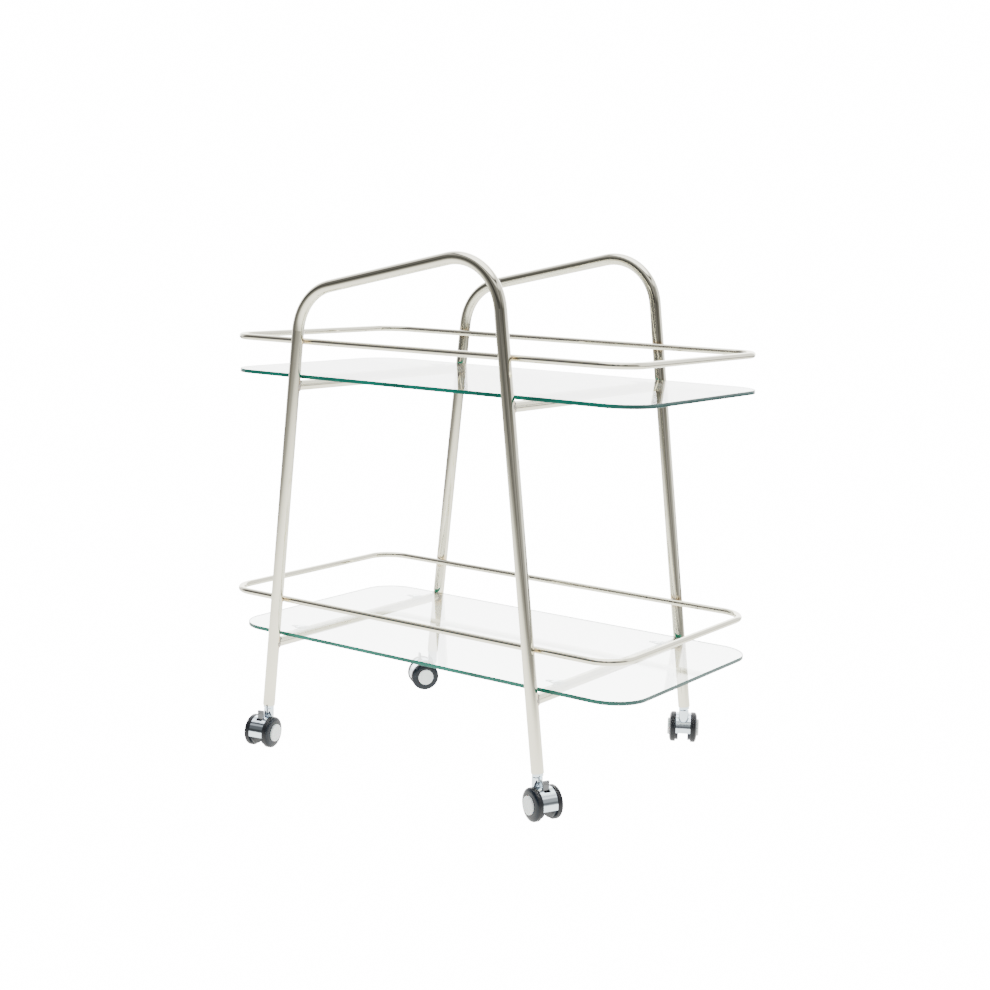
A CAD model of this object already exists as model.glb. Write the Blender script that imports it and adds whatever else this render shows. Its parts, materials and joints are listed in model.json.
import json
from math import pi, radians

import bpy
import bmesh
from mathutils import Matrix, Vector


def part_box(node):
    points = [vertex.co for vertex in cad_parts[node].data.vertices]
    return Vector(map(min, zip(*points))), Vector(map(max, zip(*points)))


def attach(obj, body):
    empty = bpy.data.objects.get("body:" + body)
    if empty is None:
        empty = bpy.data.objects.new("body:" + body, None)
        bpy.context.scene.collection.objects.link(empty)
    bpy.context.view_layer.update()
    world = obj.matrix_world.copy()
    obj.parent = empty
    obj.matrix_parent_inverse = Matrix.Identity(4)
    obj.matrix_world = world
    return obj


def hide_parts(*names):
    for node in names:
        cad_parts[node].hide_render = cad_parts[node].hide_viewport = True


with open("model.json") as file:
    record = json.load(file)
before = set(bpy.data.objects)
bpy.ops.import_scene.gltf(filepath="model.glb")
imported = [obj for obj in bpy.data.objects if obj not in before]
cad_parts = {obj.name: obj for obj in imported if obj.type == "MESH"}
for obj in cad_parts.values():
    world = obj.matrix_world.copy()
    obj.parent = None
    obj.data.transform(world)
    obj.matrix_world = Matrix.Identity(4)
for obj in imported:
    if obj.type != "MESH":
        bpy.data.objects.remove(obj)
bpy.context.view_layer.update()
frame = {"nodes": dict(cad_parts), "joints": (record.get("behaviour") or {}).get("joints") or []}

scene = bpy.context.scene
nodes = frame["nodes"]

# ---- camera ----------------------------------------------------------------------------------
# It stands off the front right corner, a little above the handles, and looks slightly down.
# The horizon leans by a degree and a half.
camera_data = bpy.data.cameras.new("view_camera")
camera_data.sensor_width = 36.0
camera_data.lens = 58.62
camera = bpy.data.objects.new("view_camera", camera_data)
scene.collection.objects.link(camera)
camera.matrix_world = (
    Matrix.Translation((1.4866, -2.0927, 0.8306))
    @ Matrix.Rotation(radians(35.126), 4, "Z")
    @ Matrix.Rotation(radians(90 - 9.139), 4, "X")
    @ Matrix.Rotation(radians(1.614), 4, "Z")
)
scene.camera = camera


# ---- studio ----------------------------------------------------------------------------------
# A white sweep in a dim grey room, with a soft ceiling light, a pale back wall and a window in it.
# The steel mirrors the near floor as the broadest bright thing, and its glow falls off outwards.
class Tree:
    """A material's or world's node tree, emptied, with short calls to add and join nodes."""

    def __init__(self, owner):
        owner.use_nodes = True
        self.tree = owner.node_tree
        self.tree.nodes.clear()

    def add(self, kind, inputs=None, **settings):
        """A node of this kind. Inputs take a value or another node's socket."""
        node = self.tree.nodes.new("ShaderNode" + kind)
        for name, value in settings.items():
            setattr(node, name, value)
        for key, value in (inputs or {}).items():
            socket = node.inputs[key]
            if isinstance(value, bpy.types.NodeSocket):
                self.tree.links.new(value, socket)
            elif isinstance(value, bpy.types.Node):
                self.tree.links.new(value.outputs[0], socket)
            else:
                socket.default_value = value
        return node

    def ramp(self, factor, *stops, interpolation="LINEAR"):
        """A colour ramp over the factor. Each stop is a position and a colour or a grey."""
        node = self.add("ValToRGB", {"Fac": factor})
        band = node.color_ramp
        band.interpolation = interpolation
        while len(band.elements) < len(stops):
            band.elements.new(1.0)
        for element, (position, colour) in zip(band.elements, stops):
            element.position = position
            grey = isinstance(colour, (int, float))
            element.color = (colour, colour, colour, 1) if grey else (*colour, 1)
        return node

    def math(self, operation, a, b=0.0):
        return self.add("Math", {0: a, 1: b}, operation=operation)

    def mix(self, factor, a, b):
        """Colour a where the factor is 0 and b where it is 1."""
        node = self.add("Mix", data_type="RGBA")
        for socket, value in ((node.inputs[0], factor), (node.inputs[6], a), (node.inputs[7], b)):
            if isinstance(value, bpy.types.Node):
                value = value.outputs[0]
            if isinstance(value, bpy.types.NodeSocket):
                self.tree.links.new(value, socket)
            else:
                socket.default_value = value if isinstance(value, float) else (*value, 1)
        return node.outputs[2]


seen_white = 16.0              # radiance of the sweep where it is looked at, just past full white
white_through = 30.0           # and behind the glass, which mirrors most of it away at a flat angle
sweep_glow = 3.3               # radiance that the near floor gives the trolley
ceiling_light = (4.4, 4.4, 4.45)
dark_side = (0.125, 0.125, 0.128)
grey_side = (0.60, 0.59, 0.575)
back_wall = (2.1, 2.1, 2.08)
back_window = (6.5, 6.5, 6.4)

world = bpy.data.worlds.new("studio_room")
scene.world = world
room = Tree(world)
look = room.add("TexCoord").outputs["Generated"]
height = room.add("SeparateXYZ", {0: look}).outputs["Z"]


def from_zero(level):
    """A level between -1 and 1, moved to between 0 and 1 for a ramp."""
    half = room.math("MULTIPLY_ADD", level, 0.5)
    half.inputs[2].default_value = 0.5
    return half


def toward(direction, *stops):
    """Grey by how far the look turns toward a direction: stops run from 0 (away) to 1 (straight at)."""
    facing = room.add("VectorMath", {0: look, 1: Vector(direction)}, operation="DOT_PRODUCT")
    return room.ramp(from_zero(facing.outputs["Value"]), *stops)


def looked_at(tree, glow):
    """White where the sweep is looked at, straight or through clear glass, and the glow elsewhere."""
    path = tree.add("LightPath").outputs
    bounces = tree.math("ADD", path["Glossy Depth"], path["Diffuse Depth"])
    straight_on = tree.math("LESS_THAN", bounces, 0.5)
    through = tree.math("MULTIPLY", path["Is Transmission Ray"], straight_on)
    behind_glass = tree.mix(through.outputs[0], glow, (white_through, white_through, white_through))
    return tree.mix(path["Is Camera Ray"], behind_glass, (seen_white, seen_white, seen_white))


# Round the room: the wall behind the trolley is bright and has a window, which the glass mirrors,
# and dark stands break up the rest.
wall_share = toward((-0.259, 0.966, 0.0), (0.48, 0.0), (0.59, 0.85), (0.9, 1.0))
stands = toward(
    (-0.819, -0.573, 0.0),
    (0.10, 1.0), (0.24, 0.6), (0.30, 0.1), (0.36, 0.45), (0.44, 0.9), (0.49, 0.15), (0.55, 0.7),
    (0.62, 0.0), (0.70, 0.35), (0.80, 0.05), (1.0, 0.2),
)
side = room.mix(stands, dark_side, grey_side)

# Up the room: a dark skirt over the floor, a lit strip where the wall ends, and a dark edge above.
bands = room.ramp(
    from_zero(height),
    (0.53, 1.0), (0.55, 0.4), (0.61, 0.35), (0.66, 0.9), (0.79, 1.0), (0.825, 4.0), (0.86, 4.0),
    (0.88, 0.5), (0.92, 0.5),
)
banded = room.add("VectorMath", {0: side, 1: bands}, operation="MULTIPLY").outputs["Vector"]
window_share = toward((-0.567, 0.811, 0.147), (0.87, 0.0), (0.93, 1.0))
around = room.mix(wall_share, banded, back_wall)
around = room.mix(window_share, around, back_window)
top_share = room.ramp(height, (0.80, 0.0), (0.88, 1.0))
glow = room.mix(top_share, around, ceiling_light)
background = room.add("Background", {"Color": looked_at(room, glow)})
room.add("OutputWorld", {"Surface": background})

floor_reach = 6.0
floor_mesh = bpy.data.meshes.new("studio_floor")
bm = bmesh.new()
bmesh.ops.create_grid(bm, x_segments=1, y_segments=1, size=floor_reach)
bm.to_mesh(floor_mesh)
bm.free()
floor = bpy.data.objects.new("studio_floor", floor_mesh)
scene.collection.objects.link(floor)
floor_paint = bpy.data.materials.new("white_sweep")
paint = Tree(floor_paint)
place = paint.add("TexCoord").outputs["Object"]
distance = paint.add("VectorMath", {0: place}, operation="LENGTH").outputs["Value"]
outwards = paint.math("DIVIDE", distance, floor_reach)
near = (sweep_glow, sweep_glow * 0.99, sweep_glow * 0.93)
far = (0.09, 0.088, 0.085)
fall_off = paint.ramp(outwards, (0.0, 1.0), (0.17, 0.9), (0.5, 0.16), (1.0, 0.06))
warm = paint.mix(fall_off, far, near)
emission = paint.add("Emission", {"Color": looked_at(paint, warm)})
paint.add("OutputMaterial", {"Surface": emission})
floor_mesh.materials.append(floor_paint)

# ---- hoops -----------------------------------------------------------------------------------
# Each hoop is one stainless tube, bent cold and polished along its length. The polish leaves
# faint lines and smudges, and the welds have tinted the tube straw and brown where they touch it.
stainless = (0.81, 0.785, 0.645)
straw_tint = (0.62, 0.44, 0.24)
hoop_middle = sum(corner.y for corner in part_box("rear_hoop")) / 2
rail_heat = 0.0182             # the tint reaches this far from a rail's weld
bar_heat = 0.0286              # and this far from a crossbar's


def heat_tint(tree, spot, steel):
    """The steel's colour with a straw tint on the legs' inner sides, close to the welds."""
    welds = [(f"{shelf}_gallery_rail", rail_heat) for shelf in ("upper", "lower")]
    welds += [(f"{shelf}_left_crossbar", bar_heat) for shelf in ("upper", "lower")]
    side = tree.add("SeparateXYZ", {0: spot})
    nearest = None
    for welded, reach in welds:
        level = sum(corner.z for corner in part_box(welded)) / 2
        gap = tree.math("ABSOLUTE", tree.math("SUBTRACT", side.outputs["Z"], level))
        close = tree.math("SUBTRACT", 1.0, tree.math("DIVIDE", gap, reach))
        nearest = close if nearest is None else tree.math("MAXIMUM", nearest, close)
    mottle = tree.add("TexNoise", {"Vector": spot, "Scale": 160.0, "Detail": 3.0})
    uneven = tree.math("ADD", nearest, tree.math("MULTIPLY", mottle.outputs["Fac"], 0.5))
    outwards = tree.math("ABSOLUTE", side.outputs["Y"])
    inner_side = tree.math("LESS_THAN", outwards, hoop_middle - 0.001)
    band = tree.ramp(tree.math("MULTIPLY", uneven, inner_side), (0.62, 0.0), (1.15, 0.75))
    return tree.mix(band, steel, straw_tint)


def tube_steel(name, along, tinted, haze):
    """Polished stainless: its lines are drawn out where the scale along is small, under this haze."""
    material = bpy.data.materials.new(name)
    tree = Tree(material)
    spot = tree.add("TexCoord").outputs["Object"]
    stretch = tree.add("Mapping", {"Vector": spot, "Scale": along}).outputs[0]
    lines = tree.add("TexNoise", {"Vector": stretch, "Scale": 1.0, "Detail": 4.0, "Roughness": 0.6})
    smudge = tree.add("TexNoise", {"Vector": spot, "Scale": 14.0, "Detail": 5.0, "Roughness": 0.62})
    gloss = tree.math("MULTIPLY", lines.outputs["Fac"], smudge.outputs["Fac"])
    rough = tree.ramp(gloss, (0.12, haze * 0.5), (0.30, haze), (0.50, haze * 2.2))
    smudged = tuple(part * 0.93 for part in stainless)
    colour = tree.ramp(smudge, (0.34, smudged), (0.66, stainless))
    if tinted:
        colour = heat_tint(tree, spot, colour)
    bump = tree.add("Bump", {"Height": lines.outputs["Fac"], "Strength": 0.015, "Distance": 0.0004})
    shader = tree.add(
        "BsdfPrincipled",
        {"Base Color": colour, "Metallic": 1.0, "Roughness": rough, "Normal": bump},
    )
    tree.add("OutputMaterial", {"Surface": shader})
    return material


hoop_steel = tube_steel("polished_hoop_tube", (420.0, 420.0, 6.0), True, 0.06)
for name in ("front_hoop", "rear_hoop"):
    nodes[name].material_slots[0].material = hoop_steel

# ---- gallery rails ---------------------------------------------------------------------------
# Two closed loops of stainless rod, bent to a rounded rectangle and welded inside the legs.
# The rod is brighter than the tubes, because it is drawn and polished before it is bent.
rail_steel = tube_steel("bright_rail_rod", (7.0, 420.0, 420.0), False, 0.035)
for name in ("upper_gallery_rail", "lower_gallery_rail"):
    nodes[name].material_slots[0].material = rail_steel

# ---- crossbars -------------------------------------------------------------------------------
# Four thinner stainless tubes from hoop to hoop, coped to the legs and drilled for the cups.
# They are polished round and round, so their lines run across them.
bar_steel = tube_steel("crossbar_tube", (300.0, 40.0, 300.0), False, 0.14)
for shelf in ("upper", "lower"):
    for hand in ("left", "right"):
        nodes[f"{shelf}_{hand}_crossbar"].material_slots[0].material = bar_steel


# ---- weld beads ------------------------------------------------------------------------------
# Beads laid by hand with a torch: overlapping ripples, brushed down afterwards and left dull,
# with dark oxide in the hollows.
def weld_metal():
    """Dull stainless in rings of ripples, darker in the hollows."""
    material = bpy.data.materials.new("brushed_weld")
    tree = Tree(material)
    spot = tree.add("TexCoord").outputs["Object"]
    ripple = tree.add(
        "TexWave",
        {"Vector": spot, "Scale": 260.0, "Distortion": 6.0, "Detail": 2.0, "Detail Scale": 3.0},
        wave_type="RINGS",
    )
    grain = tree.add("TexNoise", {"Vector": spot, "Scale": 900.0, "Detail": 4.0})
    oxide = (0.20, 0.17, 0.15)
    brushed = (0.50, 0.46, 0.41)
    crest = (0.70, 0.66, 0.60)
    colour = tree.ramp(ripple, (0.15, oxide), (0.55, brushed), (1.0, crest))
    rough = tree.ramp(grain, (0.3, 0.24), (0.7, 0.48))
    lumps = tree.add("Bump", {"Height": ripple.outputs["Fac"], "Strength": 0.6, "Distance": 0.0006})
    shader = tree.add(
        "BsdfPrincipled",
        {"Base Color": colour, "Metallic": 1.0, "Roughness": rough, "Normal": lumps},
    )
    tree.add("OutputMaterial", {"Surface": shader})
    return material


bead_metal = weld_metal()
for name in ("rail_welds", "crossbar_welds"):
    nodes[name].material_slots[0].material = bead_metal


# ---- glass shelves ---------------------------------------------------------------------------
# Two sheets of 6 mm float glass. The faces are clear, and the edge is ground to a soft round and
# polished, so it gathers the green of the whole sheet.
corner_radius = 0.057
edge_round = 0.0008


def slab(name, node):
    """Sheet of glass in the space of its node: faces in slot 0 and the ground edge in slot 1."""
    low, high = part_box(node)
    mesh = bpy.data.meshes.new(name)
    bm = bmesh.new()
    size = high - low
    bmesh.ops.create_cube(bm, size=1.0)
    bmesh.ops.scale(bm, vec=size, verts=bm.verts)
    bmesh.ops.translate(bm, vec=(low + high) / 2, verts=bm.verts)
    upright = [e for e in bm.edges if abs(e.verts[0].co.z - e.verts[1].co.z) > size.z / 2]
    bmesh.ops.bevel(
        bm, geom=upright, offset=corner_radius, offset_type="OFFSET", segments=28,
        profile=0.5, affect="EDGES", material=-1,
    )
    rims = [e for e in bm.edges if len({abs(f.normal.z) > 0.5 for f in e.link_faces}) == 2]
    bmesh.ops.bevel(
        bm, geom=rims, offset=edge_round, offset_type="OFFSET", segments=4,
        profile=0.5, affect="EDGES", material=-1,
    )
    for face in bm.faces:
        is_top_or_bottom = abs(face.normal.z) > 0.999
        face.smooth = not is_top_or_bottom
        face.material_index = 0 if is_top_or_bottom else 1
    bm.to_mesh(mesh)
    bm.free()
    sheet = bpy.data.objects.new(name, mesh)
    scene.collection.objects.link(sheet)
    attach(sheet, "frame")
    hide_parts(node)
    return sheet


def lit_through(tree, clear, tint):
    """A clear shader that light passes through with this tint, so that it casts no dark shadow."""
    passed = tree.add("BsdfTransparent", {"Color": (*tint, 1)})
    shadow = tree.add("LightPath").outputs["Is Shadow Ray"]
    return tree.add("MixShader", {0: shadow, 1: clear, 2: passed})


def clear_face():
    """Clear float glass with a few faint wipe marks."""
    material = bpy.data.materials.new("float_glass_face")
    tree = Tree(material)
    spot = tree.add("TexCoord").outputs["Object"]
    wipes = tree.add(
        "TexNoise", {"Vector": spot, "Scale": 5.0, "Detail": 6.0, "Roughness": 0.7, "Distortion": 1.2},
    )
    rough = tree.ramp(wipes, (0.45, 0.0), (0.75, 0.035))
    glass = tree.add(
        "BsdfPrincipled",
        {
            "Base Color": (0.975, 0.995, 0.985, 1),
            "Roughness": rough,
            "IOR": 1.5,
            "Transmission Weight": 1.0,
        },
    )
    tree.add("OutputMaterial", {"Surface": lit_through(tree, glass, (0.93, 0.97, 0.96))})
    return material


def ground_edge():
    """The edge, where the green of the glass gathers, with the fine frost of the grinding wheel."""
    material = bpy.data.materials.new("ground_glass_edge")
    tree = Tree(material)
    spot = tree.add("TexCoord").outputs["Object"]
    side = tree.add("SeparateXYZ", {0: tree.add("NewGeometry").outputs["Normal"]})
    toward_end = tree.math("ABSOLUTE", side.outputs["X"])
    drift = tree.add("TexNoise", {"Vector": spot, "Scale": 22.0, "Detail": 3.0})
    frost = tree.add("TexNoise", {"Vector": spot, "Scale": 1400.0, "Detail": 2.0})
    long_side = tree.ramp(drift, (0.3, (0.001, 0.090, 0.065)), (0.7, (0.004, 0.19, 0.14)))
    short_side = tree.ramp(drift, (0.3, (0.020, 0.062, 0.060)), (0.7, (0.045, 0.11, 0.105)))
    green = tree.mix(toward_end, long_side, short_side)
    rough = tree.ramp(frost, (0.35, 0.10), (0.65, 0.22))
    shader = tree.add(
        "BsdfPrincipled",
        {"Base Color": green, "Roughness": rough, "IOR": 1.5, "Specular IOR Level": 0.3},
    )
    tree.add("OutputMaterial", {"Surface": shader})
    return material


face_glass = clear_face()
edge_glass = ground_edge()
for shelf in ("upper", "lower"):
    sheet = slab(f"{shelf}_glass_sheet", f"{shelf}_glass_shelf")
    sheet.data.materials.append(face_glass)
    sheet.data.materials.append(edge_glass)


# ---- suction cups ----------------------------------------------------------------------------
# Clear soft vinyl cups, moulded in one piece with a neck that snaps into the crossbar and a flat
# tab to peel them off. The cup is hollow under the glass, with a thin lip.
cup_radius = 0.011
cup_height = 0.0025
hollow_edge = 0.0095           # the hollow ends and the tab starts this far from the middle
neck_radius = 0.004
lip = 0.0007
tab_reach = 0.020
tab_half_width = 0.0035
tab_thickness = 0.0012


def cup_set(name, node, places):
    """The four cups of one shelf, spun from their section, each with its tab."""
    low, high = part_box(node)
    foot = low.z - high.z
    hollow = (
        (0.0, -0.40 * cup_height), (0.0035, -0.38 * cup_height), (0.0072, -0.28 * cup_height),
        (hollow_edge, -0.05 * cup_height), (cup_radius - 0.0004, 0.0),
    )
    outside = (
        (cup_radius, -lip), (0.0094, -0.55 * cup_height), (0.0066, -0.85 * cup_height),
        (0.0046, -cup_height), (neck_radius, -cup_height - 0.0012), (neck_radius, foot + 0.0005),
        (0.0032, foot), (0.0, foot),
    )
    mesh = bpy.data.meshes.new(name)
    bm = bmesh.new()
    for x, y in places:
        points = [bm.verts.new((x + r, y, high.z + z)) for r, z in hollow + outside]
        line = [bm.edges.new(pair) for pair in zip(points, points[1:])]
        bmesh.ops.spin(
            bm, geom=points + line, cent=(x, y, 0), axis=(0, 0, 1), angle=2 * pi, steps=40, use_merge=True,
        )
    bmesh.ops.remove_doubles(bm, verts=bm.verts, dist=1e-6)
    for x, y in places:
        tab = bmesh.ops.create_cube(bm, size=1.0)["verts"]
        reach = tab_reach - hollow_edge
        bmesh.ops.scale(bm, vec=(reach, 2 * tab_half_width, tab_thickness), verts=tab)
        middle = (x - hollow_edge - reach / 2, y, high.z - lip - tab_thickness / 2)
        bmesh.ops.translate(bm, vec=middle, verts=tab)
        outer = [
            e for v in tab for e in v.link_edges
            if abs(e.verts[0].co.z - e.verts[1].co.z) > tab_thickness / 2 and v.co.x < middle[0]
        ]
        bmesh.ops.bevel(
            bm, geom=list(set(outer)), offset=tab_half_width * 0.9, offset_type="OFFSET", segments=8,
            profile=0.5, affect="EDGES", material=-1,
        )
    bmesh.ops.recalc_face_normals(bm, faces=bm.faces)
    for face in bm.faces:
        face.smooth = True
    bm.to_mesh(mesh)
    bm.free()
    cups = bpy.data.objects.new(name, mesh)
    scene.collection.objects.link(cups)
    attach(cups, "frame")
    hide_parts(node)
    return cups


def clear_vinyl():
    """Clear vinyl with the faint blue of its plasticiser, a little cloudy."""
    material = bpy.data.materials.new("clear_vinyl")
    tree = Tree(material)
    spot = tree.add("TexCoord").outputs["Object"]
    cloud = tree.add("TexNoise", {"Vector": spot, "Scale": 120.0, "Detail": 3.0})
    rough = tree.ramp(cloud, (0.3, 0.08), (0.7, 0.20))
    vinyl = tree.add(
        "BsdfPrincipled",
        {
            "Base Color": (0.86, 0.93, 0.97, 1),
            "Roughness": rough,
            "IOR": 1.45,
            "Transmission Weight": 0.9,
        },
    )
    tree.add("OutputMaterial", {"Surface": lit_through(tree, vinyl, (0.9, 0.95, 0.97))})
    return material


vinyl = clear_vinyl()
for shelf in ("upper", "lower"):
    node = f"{shelf}_suction_cups"
    low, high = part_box(node)
    bars = [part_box(f"{shelf}_{hand}_crossbar") for hand in ("left", "right")]
    along = [sum(corner.x for corner in bar) / 2 for bar in bars]
    across = (low.y + cup_radius, high.y - cup_radius)
    cups = cup_set(f"{shelf}_clear_cups", node, [(x, y) for x in along for y in across])
    cups.data.materials.append(vinyl)

# ---- casters: plated pieces ------------------------------------------------------------------
# The hood is a zinc casting, polished and plated bright. The leg plug's flange is plated with it.
# The brake tab is the same casting left satin, with ribs for the toe. Pins and axles are ground steel.
corners = ("front_right", "front_left", "rear_left", "rear_right")


def plating(name, colour, least, most):
    """Plated metal: a mirror with the faint waves of the casting under it."""
    material = bpy.data.materials.new(name)
    tree = Tree(material)
    spot = tree.add("TexCoord").outputs["Object"]
    waves = tree.add("TexNoise", {"Vector": spot, "Scale": 90.0, "Detail": 2.0})
    haze = tree.add("TexNoise", {"Vector": spot, "Scale": 300.0, "Detail": 4.0})
    rough = tree.ramp(haze, (0.35, least), (0.75, most))
    bump = tree.add("Bump", {"Height": waves.outputs["Fac"], "Strength": 0.16, "Distance": 0.0006})
    shader = tree.add(
        "BsdfPrincipled",
        {"Base Color": (*colour, 1), "Metallic": 1.0, "Roughness": rough, "Normal": bump},
    )
    tree.add("OutputMaterial", {"Surface": shader})
    return material


bright_chrome = plating("bright_chrome", (0.72, 0.82, 0.90), 0.03, 0.08)
satin_chrome = plating("satin_chrome", (0.13, 0.135, 0.145), 0.20, 0.32)
ground_pin = plating("ground_pin", (0.62, 0.62, 0.63), 0.16, 0.28)
for corner in corners:
    nodes[f"{corner}_hood"].material_slots[0].material = bright_chrome
    nodes[f"{corner}_leg_plug"].material_slots[0].material = bright_chrome
    nodes[f"{corner}_brake_lever"].material_slots[0].material = satin_chrome
    for piece in ("stem", "axle", "lever_pin"):
        nodes[f"{corner}_{piece}"].material_slots[0].material = ground_pin


# ---- casters: wheels and caps ----------------------------------------------------------------
# The wheels are moulded black nylon, smooth on the domed side and grained on the tread, where
# they have picked up dust. The caps are smooth pale plastic, pressed in.
wheel_low, wheel_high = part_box("front_right_left_wheel")
wheel_radius = (wheel_high.z - wheel_low.z) / 2


def wheel_nylon(name, axle, along):
    """Black nylon for one caster, dusty on the tread, which is what lies farthest from the axle."""
    material = bpy.data.materials.new(name)
    tree = Tree(material)
    spot = tree.add("TexCoord").outputs["Object"]
    from_axle = tree.add("VectorMath", {0: spot, 1: axle}, operation="SUBTRACT").outputs[0]
    sideways = tree.add("VectorMath", {0: from_axle, 1: along}, operation="DOT_PRODUCT").outputs["Value"]
    offset = tree.add("VectorMath", {0: along, "Scale": sideways}, operation="SCALE").outputs[0]
    spoke = tree.add("VectorMath", {0: from_axle, 1: offset}, operation="SUBTRACT").outputs[0]
    radius = tree.add("VectorMath", {0: spoke}, operation="LENGTH").outputs["Value"]
    outwards = tree.math("DIVIDE", radius, wheel_radius)
    on_tread = tree.ramp(outwards, (0.944, 0.0), (0.984, 1.0))
    grain = tree.add("TexNoise", {"Vector": spot, "Scale": 1300.0, "Detail": 3.0, "Roughness": 0.65})
    dust = tree.add("TexNoise", {"Vector": spot, "Scale": 420.0, "Detail": 4.0, "Roughness": 0.7})
    dusty = tree.ramp(dust, (0.56, (0.008, 0.010, 0.014)), (0.68, 0.026), (0.78, (0.10, 0.085, 0.07)))
    smooth_black = tree.ramp(grain, (0.3, (0.005, 0.009, 0.015)), (0.7, (0.008, 0.013, 0.021)))
    colour = tree.mix(on_tread, smooth_black, dusty)
    rough = tree.ramp(on_tread, (0.0, 0.26), (1.0, 0.40))
    bump = tree.add("Bump", {"Height": grain.outputs["Fac"], "Strength": 0.04, "Distance": 0.0002})
    shader = tree.add(
        "BsdfPrincipled",
        {"Base Color": colour, "Roughness": rough, "IOR": 1.36, "Normal": bump},
    )
    tree.add("OutputMaterial", {"Surface": shader})
    return material


def pale_cap():
    """Smooth pale plastic with a little depth."""
    material = bpy.data.materials.new("pale_cap_plastic")
    tree = Tree(material)
    spot = tree.add("TexCoord").outputs["Object"]
    cloud = tree.add("TexNoise", {"Vector": spot, "Scale": 70.0, "Detail": 3.0})
    colour = tree.ramp(cloud, (0.3, (0.79, 0.85, 0.86)), (0.7, (0.84, 0.90, 0.91)))
    rough = tree.ramp(cloud, (0.3, 0.24), (0.7, 0.34))
    shader = tree.add(
        "BsdfPrincipled",
        {"Base Color": colour, "Roughness": rough, "Subsurface Weight": 0.05, "Subsurface Scale": 0.002},
    )
    tree.add("OutputMaterial", {"Surface": shader})
    return material


cap_plastic = pale_cap()
joints = {joint["name"]: joint for joint in frame["joints"]}
for corner in corners:
    spin = joints[f"{corner}_left_wheel_spin"]
    nylon = wheel_nylon(f"{corner}_wheel_nylon", Vector(spin["pos_m"]), Vector(spin["axis"]))
    for hand in ("left", "right"):
        nodes[f"{corner}_{hand}_wheel"].material_slots[0].material = nylon
        nodes[f"{corner}_{hand}_hub_cap"].material_slots[0].material = cap_plastic
